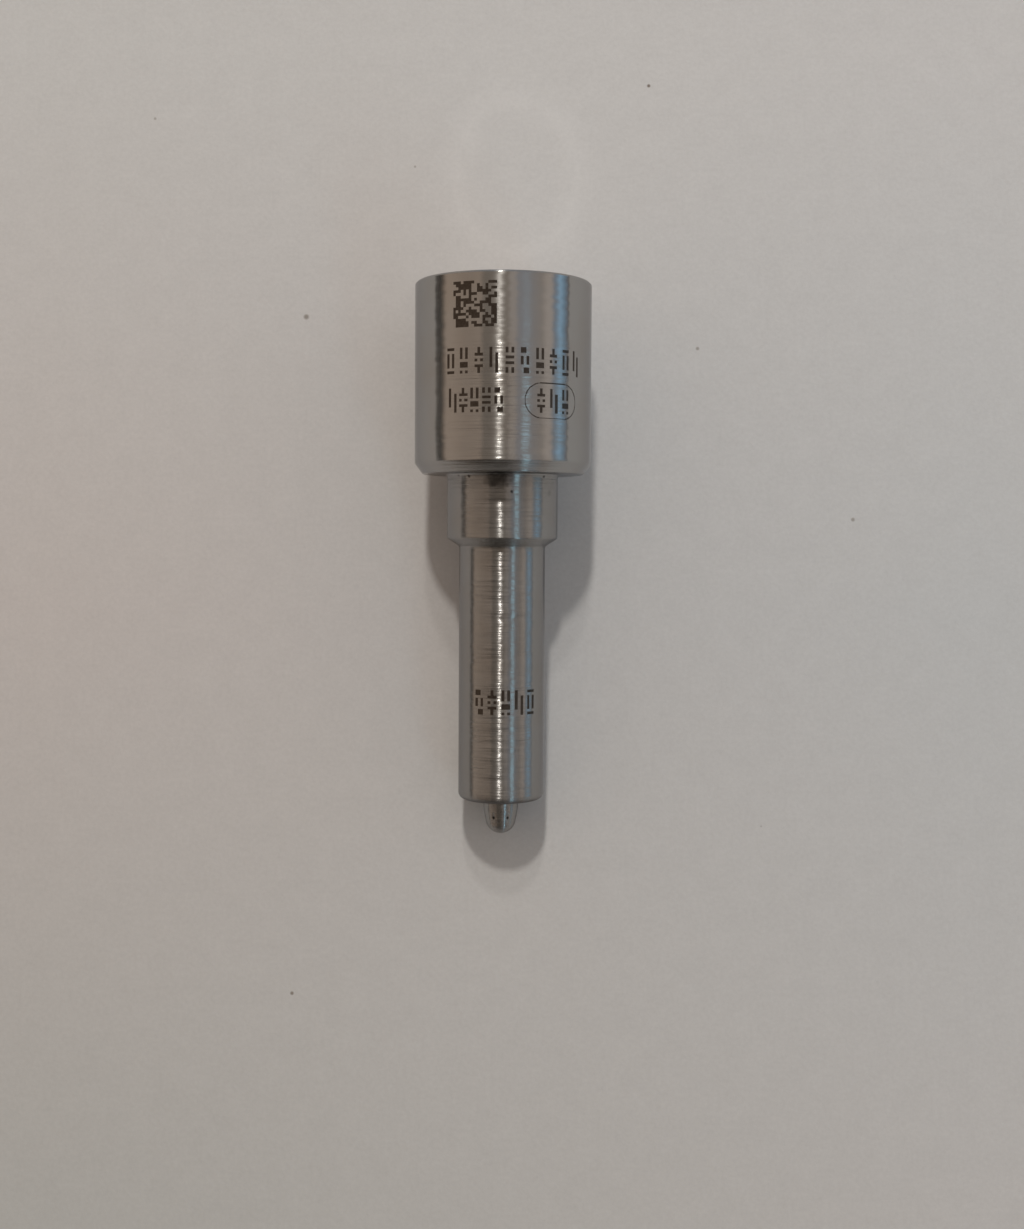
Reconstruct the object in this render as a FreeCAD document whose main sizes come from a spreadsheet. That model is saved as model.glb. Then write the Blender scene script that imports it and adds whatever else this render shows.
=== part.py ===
import FreeCAD, Part
import math
import os
import Sketcher

# A hole-type nozzle for a diesel injector, in its own frame, in millimetres.
# The nozzle axis is Y. The lapped sealing face lies at Y = 0 and faces +Y.
# Every depth below is measured from that face towards the tip, so a depth d lies at Y = -d.
# The marked side of the collar faces +Z.

doc = FreeCAD.newDocument("injector_nozzle")
sizes = doc.addObject("Spreadsheet::Sheet", "sizes")

ROWS = [
    # nozzle body, outside
    ("zero", "0", "the axis, and the sealing face"),
    ("collar_dia", "14.3", "collar outside diameter"),
    ("collar_r", "=collar_dia / 2", "collar radius"),
    ("collar_len", "14.5", "length of the full collar diameter"),
    ("shoulder_depth", "15.35", "depth of the clamping shoulder"),
    ("shoulder_r", "6.53", "outer radius of the clamping shoulder"),
    ("upper_dia", "9.0", "upper shank diameter"),
    ("upper_r", "=upper_dia / 2", "upper shank radius"),
    ("upper_end", "20.55", "depth where the upper shank ends"),
    ("lower_dia", "7.0", "lower shank diameter"),
    ("lower_r", "=lower_dia / 2", "lower shank radius"),
    ("lower_start", "21.2", "depth where the lower shank starts"),
    ("end_face", "41.9", "depth of the flat end face"),
    ("tip_root_r", "1.45", "tip radius at the end face"),
    ("tip_wall_r", "1.42", "tip radius above the spray holes"),
    ("tip_wall_end", "42.7", "depth where the tip starts to narrow"),
    ("tip_ring_r", "1.31", "tip radius at the spray holes"),
    ("tip_ring_depth", "43.35", "depth of the spray hole mouths"),
    ("tip_low_r", "1.19", "tip radius where the dome starts"),
    ("tip_low_depth", "43.95", "depth where the dome starts"),
    ("tip_end", "44.8", "overall length"),
    ("edge_break", "0.15", "break on the collar's top edge"),
    ("shoulder_fillet", "0.4", "fillet under the clamping shoulder"),
    ("cone_fillet", "0.25", "rounding at both ends of the shank cone"),
    ("end_fillet", "0.55", "rounding of the lower shank's end"),
    ("tip_fillet", "0.3", "fillet at the root of the tip"),
    # nozzle body, inside
    ("plate_bore_r", "4.5", "counterbore that locates the injector's plate"),
    ("plate_bore_len", "1.2", "counterbore length"),
    ("chamber_r", "4.25", "spring chamber radius"),
    ("chamber_len", "13.6", "depth of the spring chamber's straight wall"),
    ("gallery_r", "2.9", "radius of the gallery in the upper shank"),
    ("gallery_start", "14.4", "depth where the gallery starts"),
    ("gallery_end", "19.6", "depth where the gallery ends"),
    ("guide_bore_r", "2.02", "guide bore radius"),
    ("guide_bore_start", "20.2", "depth where the guide bore starts"),
    ("seat_start", "39.7", "depth where the seat cone starts"),
    ("seat_half_angle", "30", "half angle of the seat cone"),
    ("sac_r", "0.4", "radius of the sac below the seat"),
    ("sac_start", "=seat_start + (guide_bore_r - sac_r) / tan(seat_half_angle * 1deg)", "depth of the sac mouth"),
    ("sac_wall_end", "43.35", "depth where the sac's round end starts"),
    ("spray_hole_dia", "0.14", "spray hole diameter"),
    ("spray_hole_r", "=spray_hole_dia / 2", "spray hole radius"),
    ("spray_hole_count", "7", "number of spray holes"),
    ("spray_slope", "15", "slope of each spray hole below the radial direction"),
    # needle
    ("piston_r", "2.0", "needle piston radius"),
    ("piston_top", "3.3", "depth of the needle's top end"),
    ("piston_chamfer", "0.3", "chamfer on the needle's top end"),
    ("needle_collar_r", "2.6", "radius of the needle's spring shoulder"),
    ("needle_collar_top", "13.4", "depth of the spring shoulder's top face"),
    ("needle_collar_end", "14.6", "depth of the spring shoulder's lower face"),
    ("needle_neck_r", "1.7", "radius of the neck below the spring shoulder"),
    ("needle_guide_top", "20.8", "depth where the upper guide land starts"),
    ("needle_guide_end", "29.6", "depth where the upper guide land ends"),
    ("needle_ramp", "0.5", "length of the ramp at each end of a guide land"),
    ("needle_guide_rise", "=needle_guide_top - needle_ramp", "depth where the ramp onto the upper land starts"),
    ("needle_guide_fall", "=needle_guide_end + needle_ramp", "depth where the ramp off the upper land ends"),
    ("needle_stem_r", "1.5", "stem radius"),
    ("needle_low_top", "35.6", "depth where the lower guide land starts"),
    ("needle_low_end", "37.8", "depth where the lower guide land ends"),
    ("needle_low_rise", "=needle_low_top - needle_ramp", "depth where the ramp onto the lower land starts"),
    ("needle_low_fall", "=needle_low_end + needle_ramp", "depth where the ramp off the lower land ends"),
    ("needle_cone_top", "40.55", "depth where the needle's upper cone starts"),
    ("needle_seat_r", "1.05", "radius of the sealing edge"),
    ("needle_seat_depth", "41.36", "depth of the sealing edge with the needle closed"),
    ("needle_tip_r", "0.3", "radius of the needle's end flat"),
    ("needle_tip_depth", "42.58", "depth of the needle's end flat"),
    ("flat_distance", "1.55", "distance of each flat from the axis"),
    ("flat_count", "3", "number of flats on each guide land"),
    # control sleeve
    ("sleeve_bore_r", "2.02", "sleeve bore radius"),
    ("sleeve_top", "1.3", "depth of the sleeve's sealing edge"),
    ("sleeve_edge_in", "2.4", "inner radius of the sealing edge"),
    ("sleeve_edge_out", "2.65", "outer radius of the sealing edge"),
    ("sleeve_in_depth", "1.75", "depth where the inner bevel meets the bore"),
    ("sleeve_wall_r", "3.1", "outer radius of the sleeve"),
    ("sleeve_out_depth", "1.8", "depth where the outer bevel meets the sleeve wall"),
    ("sleeve_flange_r", "3.9", "radius of the sleeve's spring flange"),
    ("sleeve_flange_top", "4.3", "depth of the flange's upper side"),
    ("sleeve_end", "5.3", "depth of the face the spring pushes on"),
    # rings below the spring
    ("ring_bore_r", "2.05", "bore radius of both rings"),
    ("shim_r", "3.8", "outer radius of the adjusting shim"),
    ("shim_top", "11.9", "depth of the shim's upper face"),
    ("shim_end", "12.4", "depth of the shim's lower face"),
    ("ring_r", "3.9", "outer radius of the spring seat ring"),
    ("ring_edge", "0.15", "edge break on the shim and the seat ring"),
    # spring
    ("coil_r", "3.25", "radius of the spring's coil centreline"),
    ("wire_dia", "1.2", "spring wire diameter"),
    ("wire_r", "=wire_dia / 2", "spring wire radius"),
    ("ground_in", "0.2", "how far the wire's centreline starts inside a ground end"),
    ("end_pitch", "1.25", "pitch of the closed end coils"),
    ("end_turns", "1", "turns in each closed end"),
    ("active_turns", "2.5", "working turns"),
    ("spring_len", "=shim_top - sleeve_end", "fitted length of the spring"),
    ("active_height", "=spring_len - 2 * ground_in - 2 * end_pitch * end_turns", "height of the working turns"),
    ("active_pitch", "=active_height / active_turns", "pitch of the working turns"),
    ("coil_start_a", "=sleeve_end + ground_in", "depth where the upper end coil starts"),
    ("coil_start_b", "=coil_start_a + end_pitch * end_turns", "depth where the working turns start"),
    ("coil_start_c", "=coil_start_b + active_height", "depth where the lower end coil starts"),
    ("grind_r", "5", "outer reach of the cut that grinds the spring's ends"),
    ("grind_top", "=sleeve_end - 1", "upper limit of the upper grinding cut"),
    ("grind_low", "=shim_top + 1", "lower limit of the lower grinding cut"),
]

for row_number, (alias, text, note) in enumerate(ROWS, start=1):
    sizes.set("A%d" % row_number, alias)
    sizes.set("B%d" % row_number, text)
    sizes.setAlias("B%d" % row_number, alias)
    sizes.set("C%d" % row_number, note)
doc.recompute()


def size(alias):
    """Present value of one size in the sheet."""
    return float(sizes.get(alias))


def add_body(name):
    """An empty body whose label becomes the part's file name."""
    body = doc.addObject("PartDesign::Body", name)
    body.Label = name
    return body


def add_sketch(body, name, plane="XY_Plane"):
    """A sketch on one of the body's own origin planes."""
    sketch = body.newObject("Sketcher::SketchObject", name)
    support = [f for f in body.Origin.OriginFeatures if f.Role == plane][0]
    sketch.AttachmentSupport = [(support, "")]
    sketch.MapMode = "FlatFace"
    return sketch


def tie_point(sketch, line, radius, depth):
    """Hold the start of a line at a radius and a depth taken from the sheet."""
    across = Sketcher.Constraint("DistanceX", -1, 1, line, 1, size(radius))
    number = sketch.addConstraint(across)
    sketch.setExpression("Constraints[%d]" % number, "sizes." + radius)
    along = Sketcher.Constraint("DistanceY", -1, 1, line, 1, -size(depth))
    number = sketch.addConstraint(along)
    sketch.setExpression("Constraints[%d]" % number, "-sizes." + depth)


def draw_outline(sketch, corners):
    """A closed outline through corners given as (radius, depth) names."""
    first = sketch.GeometryCount
    spots = [FreeCAD.Vector(size(r), -size(d), 0) for r, d in corners]
    count = len(spots)
    for i in range(count):
        sketch.addGeometry(Part.LineSegment(spots[i], spots[(i + 1) % count]))
    for i in range(count):
        after = first + (i + 1) % count
        sketch.addConstraint(Sketcher.Constraint("Coincident", first + i, 2, after, 1))
    for i, (radius, depth) in enumerate(corners):
        tie_point(sketch, first + i, radius, depth)


def turn(body, name, corners):
    """Revolve a closed outline about the nozzle axis."""
    sketch = add_sketch(body, name + "_outline")
    draw_outline(sketch, corners)
    solid = body.newObject("PartDesign::Revolution", name)
    solid.Profile = sketch
    solid.ReferenceAxis = (sketch, ["V_Axis"])
    solid.Angle = 360
    doc.recompute()
    return solid


def turn_away(body, name, outlines):
    """Cut closed outlines, revolved about the nozzle axis, out of the body."""
    before = body.Shape.Volume
    sketch = add_sketch(body, name + "_outline")
    for corners in outlines:
        draw_outline(sketch, corners)
    cut = body.newObject("PartDesign::Groove", name)
    cut.Profile = sketch
    cut.ReferenceAxis = (sketch, ["V_Axis"])
    cut.Angle = 360
    doc.recompute()
    check_cut(name, before, body.Shape.Volume)
    return cut


def check_cut(name, before, after):
    """Stop if a cut took nothing away."""
    if after >= before - 1e-6:
        raise RuntimeError(name + " removed no material")


def round_edges(body, shape_edges, name):
    """Edge names of a body's present shape for circles given as (radius, depth) numbers."""
    found = []
    for number, edge in enumerate(body.Shape.Edges, start=1):
        if edge.Degenerated or not isinstance(edge.Curve, Part.Circle):
            continue
        curve = edge.Curve
        for radius, depth in shape_edges:
            same_radius = abs(curve.Radius - radius) < 0.01
            same_depth = abs(curve.Center.y + depth) < 0.01
            if same_radius and same_depth and abs(curve.Center.x) < 0.01:
                found.append("Edge%d" % number)
    if len(found) < len(shape_edges):
        raise RuntimeError(name + " found only %d edges" % len(found))
    return found


def fillet(body, name, circles, radius):
    """Round the named circles."""
    base = body.Tip
    edges = round_edges(body, [(size(r), size(d)) for r, d in circles], name)
    feature = body.newObject("PartDesign::Fillet", name)
    feature.Base = (base, edges)
    feature.setExpression("Radius", "sizes." + radius)
    doc.recompute()
    return feature


def chamfer(body, name, circles, width):
    """Break the named circles."""
    base = body.Tip
    edges = round_edges(body, [(size(r), size(d)) for r, d in circles], name)
    feature = body.newObject("PartDesign::Chamfer", name)
    feature.Base = (base, edges)
    feature.setExpression("Size", "sizes." + width)
    doc.recompute()
    return feature


def repeat_about_axis(body, feature, name, count):
    """Repeat a cut evenly about the nozzle axis."""
    before = body.Shape.Volume
    pattern = body.newObject("PartDesign::PolarPattern", name)
    pattern.Originals = [feature]
    axis = [f for f in body.Origin.OriginFeatures if f.Role == "Y_Axis"][0]
    pattern.Axis = (axis, [""])
    pattern.Angle = 360
    pattern.setExpression("Occurrences", "sizes." + count)
    body.Tip = pattern
    doc.recompute()
    check_cut(name, before, body.Shape.Volume)
    return pattern


# ---------------------------------------------------------------- nozzle body
def dome_tip(body):
    """Round the end of the tip, which is left as a short plain stub by the outline."""
    sketch = add_sketch(body, "tip_dome_outline")
    low_r = size("tip_low_r")
    low_y = -size("tip_low_depth")
    end_y = -size("tip_end")
    height = low_y - end_y
    radius = (low_r ** 2 + height ** 2) / (2 * height)
    middle = FreeCAD.Vector(0, end_y + radius, 0)
    start = math.atan2(end_y - middle.y, 0)
    stop = math.atan2(low_y - middle.y, low_r)
    arc = Part.ArcOfCircle(Part.Circle(middle, FreeCAD.Vector(0, 0, 1), radius), start, stop)
    sketch.addGeometry(arc)
    corner_low = FreeCAD.Vector(low_r, low_y, 0)
    corner_axis = FreeCAD.Vector(0, low_y, 0)
    corner_end = FreeCAD.Vector(0, end_y, 0)
    sketch.addGeometry(Part.LineSegment(corner_low, corner_axis))
    sketch.addGeometry(Part.LineSegment(corner_axis, corner_end))
    sketch.addConstraint(Sketcher.Constraint("Coincident", 0, 2, 1, 1))
    sketch.addConstraint(Sketcher.Constraint("Coincident", 1, 2, 2, 1))
    sketch.addConstraint(Sketcher.Constraint("Coincident", 2, 2, 0, 1))
    sketch.addConstraint(Sketcher.Constraint("PointOnObject", 0, 3, -2))
    tie_point(sketch, 1, "tip_low_r", "tip_low_depth")
    tie_point(sketch, 2, "zero", "tip_low_depth")
    end = sketch.addConstraint(Sketcher.Constraint("DistanceY", -1, 1, 2, 2, end_y))
    sketch.setExpression("Constraints[%d]" % end, "-sizes.tip_end")
    dome = body.newObject("PartDesign::Revolution", "tip_dome")
    dome.Profile = sketch
    dome.ReferenceAxis = (sketch, ["V_Axis"])
    dome.Angle = 360
    doc.recompute()


def make_nozzle_body():
    """Collar, stepped shank and tip turned as one piece, bored from the sealing face."""
    body = add_body("nozzle_body")
    turn(body, "outside", [
        ("zero", "zero"),
        ("collar_r", "zero"),
        ("collar_r", "collar_len"),
        ("shoulder_r", "shoulder_depth"),
        ("upper_r", "shoulder_depth"),
        ("upper_r", "upper_end"),
        ("lower_r", "lower_start"),
        ("lower_r", "end_face"),
        ("tip_root_r", "end_face"),
        ("tip_wall_r", "tip_wall_end"),
        ("tip_ring_r", "tip_ring_depth"),
        ("tip_low_r", "tip_low_depth"),
        ("zero", "tip_low_depth"),
    ])
    dome_tip(body)
    chamfer(body, "collar_edge_break", [("collar_r", "zero")], "edge_break")
    fillet(body, "shoulder_root", [("upper_r", "shoulder_depth")], "shoulder_fillet")
    fillet(body, "cone_edges", [("upper_r", "upper_end"), ("lower_r", "lower_start")], "cone_fillet")
    fillet(body, "shank_end", [("lower_r", "end_face")], "end_fillet")
    fillet(body, "tip_root", [("tip_root_r", "end_face")], "tip_fillet")
    turn_away(body, "inside", [[
        ("zero", "zero"),
        ("plate_bore_r", "zero"),
        ("plate_bore_r", "plate_bore_len"),
        ("chamber_r", "plate_bore_len"),
        ("chamber_r", "chamber_len"),
        ("gallery_r", "gallery_start"),
        ("gallery_r", "gallery_end"),
        ("guide_bore_r", "guide_bore_start"),
        ("guide_bore_r", "seat_start"),
        ("sac_r", "sac_start"),
        ("sac_r", "sac_wall_end"),
        ("zero", "sac_wall_end"),
    ]])
    round_sac(body)
    drill_spray_holes(body)
    return body


def round_sac(body):
    """Give the sac its ball-shaped end."""
    before = body.Shape.Volume
    ball = body.newObject("PartDesign::SubtractiveSphere", "sac_end")
    ball.setExpression("Radius", "sizes.sac_r")
    ball.setExpression("AttachmentOffset.Base.y", "-sizes.sac_wall_end")
    ball.AttachmentSupport = [(plane_of(body, "XY_Plane"), "")]
    ball.MapMode = "FlatFace"
    doc.recompute()
    check_cut("sac_end", before, body.Shape.Volume)


def plane_of(body, role):
    """One origin plane or axis of a body."""
    return [f for f in body.Origin.OriginFeatures if f.Role == role][0]


def drill_spray_holes(body):
    """One sloping hole from the sac to the outside, repeated about the axis.

    The first hole leaves the tip on the -Z side, so two holes lie evenly either side of +Z.
    """
    before = body.Shape.Volume
    slope = math.radians(size("spray_slope"))
    run = size("tip_ring_r") + 0.3
    hole = body.newObject("PartDesign::SubtractiveCylinder", "spray_hole")
    hole.setExpression("Radius", "sizes.spray_hole_r")
    hole.Height = run / math.cos(slope)
    start_y = -(size("tip_ring_depth") - size("tip_ring_r") * math.tan(slope))
    direction = FreeCAD.Vector(0, -math.sin(slope), -math.cos(slope))
    turn_to = FreeCAD.Rotation(FreeCAD.Vector(0, 0, 1), direction)
    hole.AttachmentSupport = [(plane_of(body, "XY_Plane"), "")]
    hole.MapMode = "FlatFace"
    hole.AttachmentOffset = FreeCAD.Placement(FreeCAD.Vector(0, start_y, 0), turn_to)
    doc.recompute()
    check_cut("spray_hole", before, body.Shape.Volume)
    repeat_about_axis(body, hole, "spray_holes", "spray_hole_count")


# -------------------------------------------------------------------- needle
def make_needle():
    """Needle with piston, spring shoulder, two guide lands with flats, stem and double seat cone."""
    body = add_body("nozzle_needle")
    turn(body, "needle_outside", [
        ("zero", "piston_top"),
        ("piston_r", "piston_top"),
        ("piston_r", "needle_collar_top"),
        ("needle_collar_r", "needle_collar_top"),
        ("needle_collar_r", "needle_collar_end"),
        ("needle_neck_r", "needle_collar_end"),
        ("needle_neck_r", "needle_guide_rise"),
        ("piston_r", "needle_guide_top"),
        ("piston_r", "needle_guide_end"),
        ("needle_stem_r", "needle_guide_fall"),
        ("needle_stem_r", "needle_low_rise"),
        ("piston_r", "needle_low_top"),
        ("piston_r", "needle_low_end"),
        ("needle_stem_r", "needle_low_fall"),
        ("needle_stem_r", "needle_cone_top"),
        ("needle_seat_r", "needle_seat_depth"),
        ("needle_tip_r", "needle_tip_depth"),
        ("zero", "needle_tip_depth"),
    ])
    chamfer(body, "piston_edge", [("piston_r", "piston_top")], "piston_chamfer")
    cut_flats(body)
    return body


def draw_box(sketch, low_x, high_x, low_y, high_y):
    """A closed rectangle whose sides are given as expressions on the sheet with start values."""
    first = sketch.GeometryCount
    corners = [(low_x, low_y), (high_x, low_y), (high_x, high_y), (low_x, high_y)]
    spots = [FreeCAD.Vector(x[1], y[1], 0) for x, y in corners]
    for i in range(4):
        sketch.addGeometry(Part.LineSegment(spots[i], spots[(i + 1) % 4]))
    for i in range(4):
        after = first + (i + 1) % 4
        sketch.addConstraint(Sketcher.Constraint("Coincident", first + i, 2, after, 1))
    for i, (x, y) in enumerate(corners):
        number = sketch.addConstraint(Sketcher.Constraint("DistanceX", -1, 1, first + i, 1, x[1]))
        sketch.setExpression("Constraints[%d]" % number, x[0])
        number = sketch.addConstraint(Sketcher.Constraint("DistanceY", -1, 1, first + i, 1, y[1]))
        sketch.setExpression("Constraints[%d]" % number, y[0])


def cut_flats(body):
    """Fuel passes the guide lands along flats cut evenly around both."""
    before = body.Shape.Volume
    sketch = add_sketch(body, "flat_outline", "XY_Plane")
    inner = ("sizes.flat_distance", size("flat_distance"))
    outer = ("sizes.piston_r + 1", size("piston_r") + 1)
    for rise, fall in (("needle_guide_rise", "needle_guide_fall"), ("needle_low_rise", "needle_low_fall")):
        top = ("-sizes.%s + 0.1" % rise, -size(rise) + 0.1)
        low = ("-sizes.%s - 0.1" % fall, -size(fall) - 0.1)
        draw_box(sketch, inner, outer, low, top)
    flat = body.newObject("PartDesign::Pocket", "flat")
    flat.Profile = sketch
    flat.Midplane = True
    flat.setExpression("Length", "sizes.piston_r * 3")
    doc.recompute()
    check_cut("flat", before, body.Shape.Volume)
    repeat_about_axis(body, flat, "flats", "flat_count")


# ------------------------------------------------------------ sleeve and rings
def make_sleeve():
    """Sleeve with a narrow sealing edge on top and a flange for the spring below."""
    body = add_body("control_sleeve")
    turn(body, "sleeve_section", [
        ("sleeve_edge_in", "sleeve_top"),
        ("sleeve_edge_out", "sleeve_top"),
        ("sleeve_wall_r", "sleeve_out_depth"),
        ("sleeve_wall_r", "sleeve_flange_top"),
        ("sleeve_flange_r", "sleeve_flange_top"),
        ("sleeve_flange_r", "sleeve_end"),
        ("sleeve_bore_r", "sleeve_end"),
        ("sleeve_bore_r", "sleeve_in_depth"),
    ])
    chamfer(body, "flange_edges", [("sleeve_flange_r", "sleeve_flange_top"), ("sleeve_flange_r", "sleeve_end")],
            "ring_edge")
    return body


def make_ring(name, outer, top, end):
    """A plain ring between two depths, with its outer edges broken."""
    body = add_body(name)
    turn(body, name + "_section", [
        ("ring_bore_r", top),
        (outer, top),
        (outer, end),
        ("ring_bore_r", end),
    ])
    chamfer(body, name + "_edges", [(outer, top), (outer, end)], "ring_edge")
    return body


# -------------------------------------------------------------------- spring
def coil(body, name, side, start, pitch, height):
    """One helical run of wire, starting on the +X side (1) or the -X side (-1)."""
    sketch = add_sketch(body, name + "_wire")
    middle = FreeCAD.Vector(side * size("coil_r"), -size(start), 0)
    sketch.addGeometry(Part.Circle(middle, FreeCAD.Vector(0, 0, 1), size("wire_r")))
    number = sketch.addConstraint(Sketcher.Constraint("Radius", 0, size("wire_r")))
    sketch.setExpression("Constraints[%d]" % number, "sizes.wire_r")
    number = sketch.addConstraint(Sketcher.Constraint("DistanceX", -1, 1, 0, 3, middle.x))
    sign = "" if side > 0 else "-"
    sketch.setExpression("Constraints[%d]" % number, sign + "sizes.coil_r")
    number = sketch.addConstraint(Sketcher.Constraint("DistanceY", -1, 1, 0, 3, middle.y))
    sketch.setExpression("Constraints[%d]" % number, "-sizes." + start)
    run = body.newObject("PartDesign::AdditiveHelix", name)
    run.Profile = sketch
    run.ReferenceAxis = (sketch, ["V_Axis"])
    run.Mode = "pitch-height-angle"
    run.setExpression("Pitch", "sizes." + pitch)
    run.setExpression("Height", height)
    run.Angle = 0
    run.Reversed = True
    doc.recompute()
    return run


def make_spring():
    """Coil spring with closed ends, ground flat where it meets the sleeve and the shim."""
    body = add_body("closing_spring")
    coil(body, "upper_end_coil", 1, "coil_start_a", "end_pitch", "sizes.end_pitch * sizes.end_turns")
    coil(body, "working_coils", 1, "coil_start_b", "active_pitch", "sizes.active_height")
    coil(body, "lower_end_coil", -1, "coil_start_c", "end_pitch", "sizes.end_pitch * sizes.end_turns")
    turn_away(body, "ground_ends", [
        [("zero", "grind_top"), ("grind_r", "grind_top"), ("grind_r", "sleeve_end"), ("zero", "sleeve_end")],
        [("zero", "shim_top"), ("grind_r", "shim_top"), ("grind_r", "grind_low"), ("zero", "grind_low")],
    ])
    return body


# ---------------------------------------------------------------- make and write
BODIES = [
    make_nozzle_body(),
    make_needle(),
    make_sleeve(),
    make_ring("adjusting_shim", "shim_r", "shim_top", "shim_end"),
    make_ring("spring_seat_ring", "ring_r", "shim_end", "needle_collar_top"),
    make_spring(),
]
doc.recompute()


def check_everything():
    """Stop if any object is in error or any body is not one sound solid."""
    for item in doc.Objects:
        if "Invalid" in item.State or "Error" in item.State:
            raise RuntimeError(item.Name + " is in error")
    for body in BODIES:
        shape = body.Shape
        if shape.isNull() or not shape.isValid():
            raise RuntimeError(body.Label + " has no valid shape")
        if len(shape.Solids) != 1:
            raise RuntimeError(body.Label + " is %d solids" % len(shape.Solids))


check_everything()
os.makedirs("parts", exist_ok=True)
for body in BODIES:
    body.Shape.exportStep("parts/%s.step" % body.Label)
    box = body.Shape.BoundBox
    print(body.Label, round(body.Shape.Volume, 3), "mm3, depth %.3f to %.3f" % (-box.YMax, -box.YMin))
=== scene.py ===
import math
import random

import bmesh
import bpy
from mathutils import Matrix, Vector


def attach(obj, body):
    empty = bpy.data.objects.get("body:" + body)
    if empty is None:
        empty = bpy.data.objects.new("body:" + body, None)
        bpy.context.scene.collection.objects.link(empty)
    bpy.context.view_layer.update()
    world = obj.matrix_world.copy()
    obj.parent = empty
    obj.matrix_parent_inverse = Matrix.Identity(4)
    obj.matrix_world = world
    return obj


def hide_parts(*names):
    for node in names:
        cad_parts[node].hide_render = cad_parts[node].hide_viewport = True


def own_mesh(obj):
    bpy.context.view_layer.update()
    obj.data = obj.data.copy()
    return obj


# A diesel injector nozzle lying on pale paper. Y is the nozzle axis, the tip is at -Y, +Z is up.
# Profiles are given in millimetres as (radius, depth), where a depth d lies at Y = -d.

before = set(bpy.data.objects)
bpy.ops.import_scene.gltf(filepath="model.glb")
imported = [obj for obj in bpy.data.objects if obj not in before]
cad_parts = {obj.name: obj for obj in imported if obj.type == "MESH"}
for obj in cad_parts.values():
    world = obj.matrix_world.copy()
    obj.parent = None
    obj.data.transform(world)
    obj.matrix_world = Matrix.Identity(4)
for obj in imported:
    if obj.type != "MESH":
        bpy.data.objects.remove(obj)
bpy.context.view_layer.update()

MM = 0.001
# Outside sizes of the body: radii, then depths along it, then the spray holes at its tip.
COLLAR_R, NECK_R, SHANK_R = 7.15, 4.5, 3.5
CHAMFER_TOP, SHOULDER, CONE_TOP, CONE_END, SHANK_END, TIP_END = 14.5, 15.35, 20.55, 21.2, 41.9, 44.8
HOLE_COUNT, HOLE_DEPTH, HOLE_OUT_R, HOLE_R = 7, 43.35, 1.31, 0.07


# ------------------------------------------------------------------ profiles
def rounded(corners, closed=False, steps=6):
    """Points of a profile whose corners (radius, depth, fillet) are rounded."""
    points = []
    count = len(corners)
    for i, (r, d, fillet) in enumerate(corners):
        at_end = not closed and i in (0, count - 1)
        if fillet <= 0 or at_end:
            points.append((r, d))
            continue
        here = Vector((r, d))
        before = Vector(corners[i - 1][:2]) - here
        after = Vector(corners[(i + 1) % count][:2]) - here
        half = before.angle(after) / 2
        reach = min(fillet / math.tan(half), 0.49 * before.length, 0.49 * after.length)
        radius = reach * math.tan(half)
        inward = (before.normalized() + after.normalized()).normalized()
        middle = here + inward * (radius / math.sin(half))
        start = here + before.normalized() * reach - middle
        stop = here + after.normalized() * reach - middle
        sweep = start.angle_signed(stop)
        for k in range(steps + 1):
            turn = Matrix.Rotation(-sweep * k / steps, 2)
            spot = middle + turn @ start
            points.append((spot.x, spot.y))
    return points


def arc_points(middle_d, radius, from_d, to_d, steps):
    """Points of a ball-shaped end centred on the axis, between two depths."""
    points = []
    start = math.asin(max(-1.0, min(1.0, (from_d - middle_d) / radius)))
    stop = math.asin(max(-1.0, min(1.0, (to_d - middle_d) / radius)))
    for k in range(steps + 1):
        a = start + (stop - start) * k / steps
        points.append((max(0.0, radius * math.cos(a)), middle_d + radius * math.sin(a)))
    return points


def add_rows(points, depths, radius):
    """Adds rows at these depths to the stretch of profile that runs along one radius."""
    out = []
    for i, (r, d) in enumerate(points):
        out.append((r, d))
        if i + 1 == len(points):
            break
        r2, d2 = points[i + 1]
        if abs(r - radius) > 1e-4 or abs(r2 - radius) > 1e-4:
            continue
        inside = [x for x in depths if min(d, d2) + 1e-4 < x < max(d, d2) - 1e-4]
        out += [(radius, x) for x in sorted(inside, reverse=d2 < d)]
    return out


def lathe(name, points, angles, closed, finish_of=None):
    """A solid of revolution about Y. finish_of(r, d, angle) gives each face's material number."""
    verts, faces, rings = [], [], []
    n = len(angles)
    for r, d in points:
        if r < 1e-6:
            rings.append([len(verts)] * n)
            verts.append((0.0, -d * MM, 0.0))
            continue
        rings.append(list(range(len(verts), len(verts) + n)))
        for a in angles:
            verts.append((r * math.sin(a) * MM, -d * MM, r * math.cos(a) * MM))
    spans = len(points) if closed else len(points) - 1
    finishes = []
    for i in range(spans):
        here, there = rings[i], rings[(i + 1) % len(points)]
        r_mid = (points[i][0] + points[(i + 1) % len(points)][0]) / 2
        d_mid = (points[i][1] + points[(i + 1) % len(points)][1]) / 2
        for k in range(n):
            m = (k + 1) % n
            face = []
            for v in (here[k], here[m], there[m], there[k]):
                if v not in face:
                    face.append(v)
            if len(face) < 3:
                continue
            faces.append(face)
            if finish_of:
                step = (angles[m] - angles[k]) % (2 * math.pi)
                finishes.append(finish_of(r_mid, d_mid, angles[k] + step / 2))
    mesh = bpy.data.meshes.new(name)
    mesh.from_pydata(verts, [], faces)
    if finish_of:
        mesh.polygons.foreach_set("material_index", finishes)
    return finish_mesh(name, mesh)


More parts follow.
